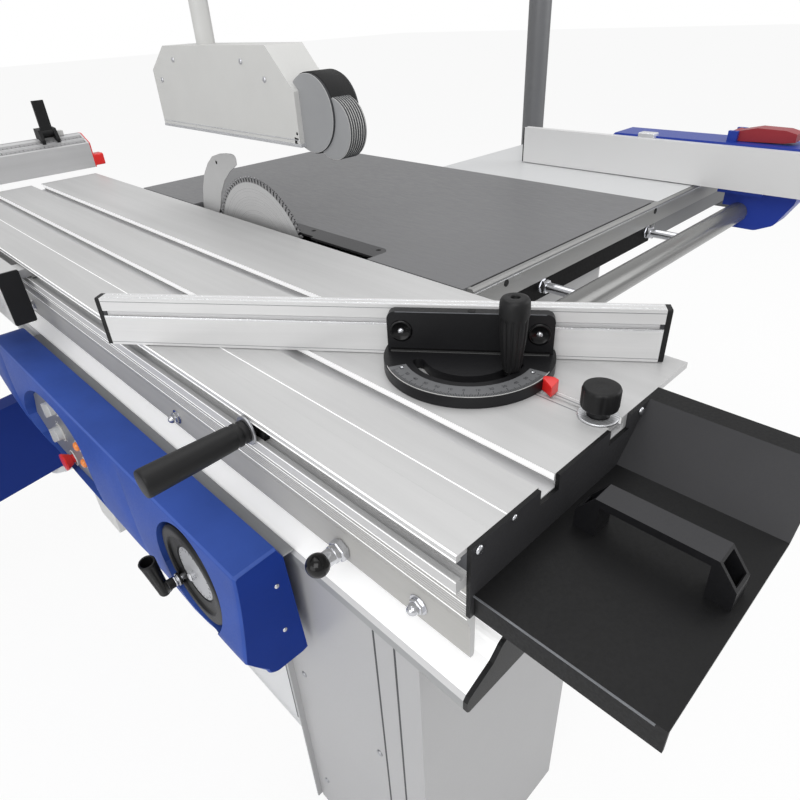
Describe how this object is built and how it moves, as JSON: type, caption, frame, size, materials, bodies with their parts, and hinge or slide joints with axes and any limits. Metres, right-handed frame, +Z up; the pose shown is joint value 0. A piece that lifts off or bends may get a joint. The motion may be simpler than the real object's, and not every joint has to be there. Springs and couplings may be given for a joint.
{
  "type": "sliding table saw",
  "caption": "Panel saw with a tilting, rising blade beside a cast table, a sliding table with outrigger and crosscut fence, a mitre gauge, a rip fence on a round rail and a swing-over guard.",
  "frame": {"origin": "on the floor at the middle of the cabinet's base, in the plane of the upright blade", "axes": "+Z up; +Y the way the work is fed, away from the operator; +X from the sliding table towards the rip fence"},
  "size_m": [2.511, 1.824, 1.51],
  "materials": {
    "pale_paint": "satin powder coat",
    "cast_top": "ground satin",
    "machined_iron": "as cast, machined faces",
    "steel": "ground",
    "blade_steel": "fine brushed",
    "bright_alu": "anodised satin",
    "table_alu": "anodised satin",
    "rail_steel": "satin chrome",
    "black_paint": "satin",
    "black_plastic": "matt",
    "blue_shell": "semi gloss",
    "blue_paint": "gloss",
    "deep_blue_paint": "satin",
    "red_plastic": "gloss",
    "dark_red_paint": "gloss",
    "grey_plastic": "satin",
    "panel_grey": "satin",
    "belt_rubber": "matt"
  },
  "bodies": {
    "root": {"base_plate": "pale_paint", "cabinet_left": "pale_paint", "cabinet_right": "pale_paint", "cabinet_front": "pale_paint", "cabinet_rear": "pale_paint", "fixed_table": "cast_top", "table_insert": "steel", "extension_table": "pale_paint", "extension_frame": "pale_paint", "front_rail": "bright_alu", "rail_bracket": "black_paint", "round_rail": "rail_steel", "rail_studs": "steel", "guide_beam": "bright_alu", "beam_end_caps": "black_plastic", "control_housing": "blue_shell", "switch_plate": "panel_grey", "trunnion_cradles": "machined_iron", "dust_chute": "pale_paint"},
    "door": {"service_door": "pale_paint"},
    "tilt": {"trunnions": "machined_iron"},
    "rise": {"saw_carriage": "machined_iron", "riving_knife": "blade_steel", "motor": "blue_paint", "drive_belt": "belt_rubber", "blade_shroud": "black_paint"},
    "arbor": {"arbor_shaft": "steel", "saw_blade": "blade_steel", "clamp_flanges": "steel"},
    "motor_rotor": {"motor_pulley": "steel"},
    "rise_wheel": {"rise_handwheel": "black_plastic"},
    "crank": {"crank_grip": "black_plastic"},
    "tilt_wheel": {"tilt_handwheel": "black_plastic"},
    "table": {"sliding_table": "table_alu", "end_tray": "black_paint", "tray_handle": "black_paint"},
    "handle": {"push_handle": "black_plastic"},
    "plunger": {"lock_plunger": "black_plastic"},
    "cage": {"roller_cage": "bright_alu"},
    "outrigger": {"outrigger_frame": "bright_alu"},
    "crosscut": {"crosscut_fence": "table_alu"},
    "fence_end": {"fence_extension": "bright_alu"},
    "stop": {"stop_carrier": "black_plastic"},
    "flap": {"stop_flap": "black_plastic"},
    "arm": {"swing_arm": "deep_blue_paint"},
    "support": {"support_tube": "steel"},
    "rip": {"rip_casting": "blue_paint"},
    "rip_face": {"rip_plate": "bright_alu"},
    "lever": {"rip_lever": "dark_red_paint"},
    "gauge_bar": {"mitre_bar": "bright_alu"},
    "gauge_head": {"mitre_head": "black_paint"},
    "gauge_fence": {"mitre_fence": "bright_alu"},
    "gauge_grip": {"mitre_grip": "black_plastic"},
    "gauge_knob": {"mitre_knob": "black_plastic"},
    "boom": {"guard_boom": "pale_paint"},
    "hood": {"guard_hood": "table_alu"},
    "stop_head": {"stop_button": "red_plastic"},
    "speed": {"speed_knob": "grey_plastic"},
    "mode": {"mode_knob": "grey_plastic"},
    "switch": {"start_switch": "grey_plastic"}
  },
  "joints": [
    {"name": "table_slide", "type": "slide", "parent": "root", "child": "table", "axis": [0, 1, 0], "range_m": [-0.8, 0.8]},
    {"name": "cage_slide", "type": "slide", "parent": "root", "child": "cage", "axis": [0, 1, 0], "range_m": [-0.41, 0.41]},
    {"name": "blade_tilt", "type": "hinge", "parent": "root", "child": "tilt", "pos_m": [0, 0.055, 0.86], "axis": [0, -1, 0], "range_deg": [-45, 0]},
    {"name": "blade_rise", "type": "slide", "parent": "tilt", "child": "rise", "axis": [0, 0, 1], "range_m": [-0.082, 0.02]},
    {"name": "arbor_spin", "type": "hinge", "parent": "rise", "child": "arbor", "pos_m": [0, 0.055, 0.784], "axis": [1, 0, 0], "continuous": true},
    {"name": "motor_spin", "type": "hinge", "parent": "rise", "child": "motor_rotor", "pos_m": [0.14, 0.055, 0.53], "axis": [1, 0, 0], "continuous": true},
    {"name": "rise_wheel_turn", "type": "hinge", "parent": "root", "child": "rise_wheel", "pos_m": [-0.458, -0.423, 0.615], "axis": [1, 0, 0], "range_deg": [-1480, 365]},
    {"name": "crank_fold", "type": "hinge", "parent": "rise_wheel", "child": "crank", "pos_m": [-0.473, -0.381, 0.581], "axis": [1, 0, 0], "range_deg": [0, 180]},
    {"name": "tilt_wheel_turn", "type": "hinge", "parent": "root", "child": "tilt_wheel", "pos_m": [0.167, -0.518, 0.53], "axis": [0, 1, 0], "range_deg": [-3245, 0]},
    {"name": "arm_swing", "type": "hinge", "parent": "root", "child": "arm", "pos_m": [-0.423, 0.45, 0.408], "axis": [0, 0, 1], "range_deg": [-46, 46]},
    {"name": "arm_telescope", "type": "slide", "parent": "arm", "child": "support", "axis": [-0.9806, -0.1959, 0], "range_m": [0, 0.3]},
    {"name": "outrigger_slide", "type": "slide", "parent": "table", "child": "outrigger", "axis": [0, 1, 0], "range_m": [-0.4, 0]},
    {"name": "crosscut_swivel", "type": "hinge", "parent": "outrigger", "child": "crosscut", "pos_m": [-0.426, 0.834, 0.86], "axis": [0, 0, 1], "range_deg": [-45, 45]},
    {"name": "fence_extend", "type": "slide", "parent": "crosscut", "child": "fence_end", "axis": [-1, 0, 0], "range_m": [0, 0.5]},
    {"name": "stop_slide", "type": "slide", "parent": "crosscut", "child": "stop", "axis": [1, 0, 0], "range_m": [-0.9, 0]},
    {"name": "stop_flip", "type": "hinge", "parent": "stop", "child": "flap", "pos_m": [-0.093, 0.849, 0.969], "axis": [1, 0, 0], "range_deg": [0, 100]},
    {"name": "gauge_slide", "type": "slide", "parent": "table", "child": "gauge_bar", "axis": [0, 1, 0], "range_m": [0, 0.9]},
    {"name": "gauge_swivel", "type": "hinge", "parent": "gauge_bar", "child": "gauge_head", "pos_m": [-0.1695, -0.614, 0.866], "axis": [0, 0, 1], "range_deg": [-6.4, 113.6]},
    {"name": "gauge_fence_slide", "type": "slide", "parent": "gauge_head", "child": "gauge_fence", "axis": [0.5934, -0.8049, 0], "range_m": [-0.15, 0.15]},
    {"name": "gauge_grip_turn", "type": "hinge", "parent": "gauge_bar", "child": "gauge_grip", "pos_m": [-0.1695, -0.671, 0.9], "axis": [0, 0, 1], "range_deg": [-180, 180]},
    {"name": "gauge_knob_turn", "type": "hinge", "parent": "gauge_bar", "child": "gauge_knob", "pos_m": [-0.1695, -0.772, 0.88], "axis": [0, 0, 1], "range_deg": [-180, 180]},
    {"name": "rip_slide", "type": "slide", "parent": "root", "child": "rip", "axis": [1, 0, 0], "range_m": [-0.64, 0.32]},
    {"name": "rip_face_slide", "type": "slide", "parent": "rip", "child": "rip_face", "axis": [0, 1, 0], "range_m": [-0.3, 0.1]},
    {"name": "lever_lift", "type": "hinge", "parent": "rip", "child": "lever", "pos_m": [0.748, -0.528, 0.954], "axis": [-1, 0, 0], "range_deg": [0, 60]},
    {"name": "guard_swing", "type": "hinge", "parent": "root", "child": "boom", "pos_m": [1.007, 0.13, 1.32], "axis": [0, 0, 1], "range_deg": [-90, 0]},
    {"name": "guard_drop", "type": "slide", "parent": "boom", "child": "hood", "axis": [0, 0, -1], "range_m": [-0.1, 0.135]},
    {"name": "lock_pull", "type": "slide", "parent": "table", "child": "plunger", "axis": [1, 0, 0], "range_m": [-0.012, 0], "stiffness_N_per_m": 900},
    {"name": "handle_slide", "type": "slide", "parent": "table", "child": "handle", "axis": [0, 1, 0], "range_m": [-0.2, 0.6]},
    {"name": "stop_push", "type": "slide", "parent": "root", "child": "stop_head", "axis": [1, 0, 0], "range_m": [0, 0.004], "stiffness_N_per_m": 900},
    {"name": "speed_turn", "type": "hinge", "parent": "root", "child": "speed", "pos_m": [-0.459, 0.055, 0.652], "axis": [1, 0, 0], "range_deg": [-45, 45]},
    {"name": "mode_turn", "type": "hinge", "parent": "root", "child": "mode", "pos_m": [-0.459, 0.08, 0.588], "axis": [1, 0, 0], "range_deg": [-45, 45]},
    {"name": "switch_push", "type": "slide", "parent": "root", "child": "switch", "axis": [1, 0, 0], "range_m": [0, 0.003], "stiffness_N_per_m": 900},
    {"name": "door_swing", "type": "hinge", "parent": "root", "child": "door", "pos_m": [0.009, 0.4715, 0.36], "axis": [0, 0, 1], "range_deg": [0, 110]}
  ],
  "couplings": [
    {"joint": "cage_slide", "follows": "table_slide", "ratio": 0.5},
    {"joint": "motor_spin", "follows": "arbor_spin", "ratio": 0.66},
    {"joint": "rise_wheel_turn", "follows": "blade_rise", "rad_per_m": 314.16},
    {"joint": "tilt_wheel_turn", "follows": "blade_tilt", "ratio": 72},
    {"joint": "arm_swing", "follows": "table_slide", "rad_per_m": -1}
  ]
}
